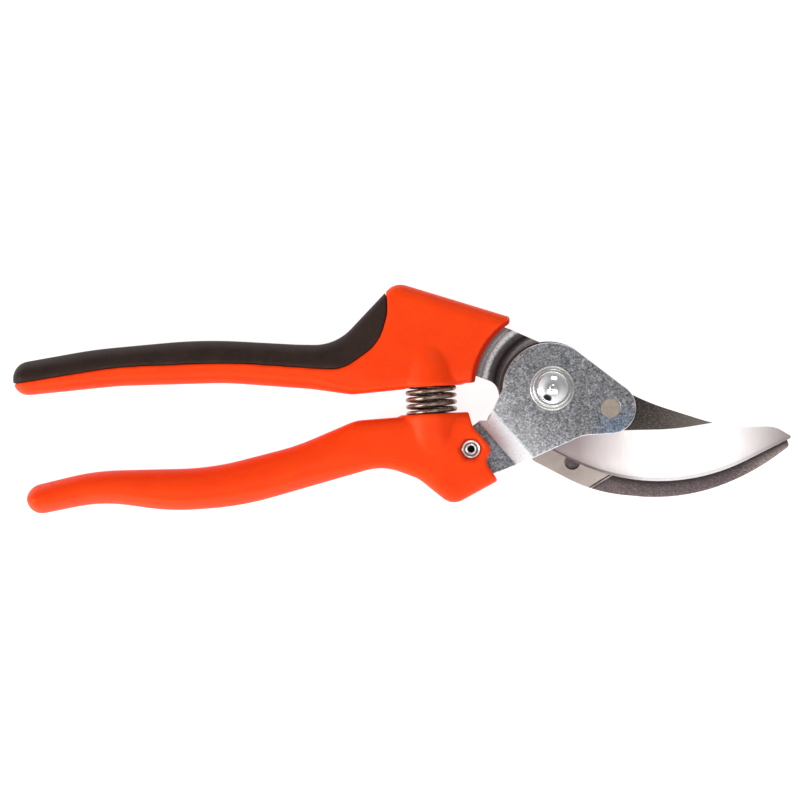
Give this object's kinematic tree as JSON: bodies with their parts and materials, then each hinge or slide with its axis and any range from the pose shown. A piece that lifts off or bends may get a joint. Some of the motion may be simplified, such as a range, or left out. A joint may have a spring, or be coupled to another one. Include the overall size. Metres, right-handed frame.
{
  "type": "pruning shears",
  "caption": "Sprung bypass pruning shears with moulded handles, a hooked counter-blade and a thumb catch, closed and lying flat.",
  "frame": {"origin": "on the pivot axis, at the back face of the pivot nut, in the plane the shears lie on", "axes": "+X along the shears towards the blade tips, +Y towards the upper handle (the one with the soft grip), +Z along the pivot axis out of the front face"},
  "size_m": [0.2007, 0.0591, 0.017],
  "materials": {
    "handle_nylon": "satin moulded orange-red nylon",
    "grip_elastomer": "matt overmoulded elastomer",
    "hook_steel": "ground, forged steel",
    "blade_steel": "hollow-ground bevel under a dark low-friction coating",
    "zinc_plate": "mottled zinc plating",
    "polished_steel": "polished",
    "bearing_bronze": "sintered",
    "plain_steel": "plain zinc-plated",
    "rivet_steel": "plain",
    "spring_steel": "oil-blackened wire",
    "catch_nylon": "moulded orange-red nylon"
  },
  "bodies": {
    "upper_arm": {"upper_handle": "handle_nylon", "soft_grip": "grip_elastomer", "counter_blade": "hook_steel", "upper_tang_pin": "plain_steel", "pivot_bolt": "polished_steel", "pivot_bush": "bearing_bronze", "pivot_collar": "polished_steel", "spring_washer": "plain_steel", "pivot_nut": "plain_steel", "catch_rivet": "rivet_steel", "catch_washer": "plain_steel", "return_spring": "spring_steel"},
    "lower_arm": {"lower_handle": "handle_nylon", "front_plate": "zinc_plate", "cutting_blade": "blade_steel", "blade_rivet": "rivet_steel", "handle_rivet": "rivet_steel", "catch_stud": "plain_steel"},
    "catch": {"catch_lever": "plain_steel", "catch_pad": "catch_nylon"}
  },
  "joints": [
    {"name": "main_pivot", "type": "hinge", "parent": "upper_arm", "child": "lower_arm", "pos_m": [0, 0, 0.0085], "axis": [0, 0, 1], "range_deg": [0, 28], "stiffness_Nm_per_rad": 0.5, "springref_deg": 45.84, "deforming": ["return_spring"]},
    {"name": "catch_pivot", "type": "hinge", "parent": "upper_arm", "child": "catch", "pos_m": [-0.0095, 0.0075, 0.0026], "axis": [0, 0, 1], "range_deg": [-28, 0]}
  ],
  "couplings": [
    {"joint": "catch_pivot", "follows": "main_pivot", "ratio": -1}
  ]
}
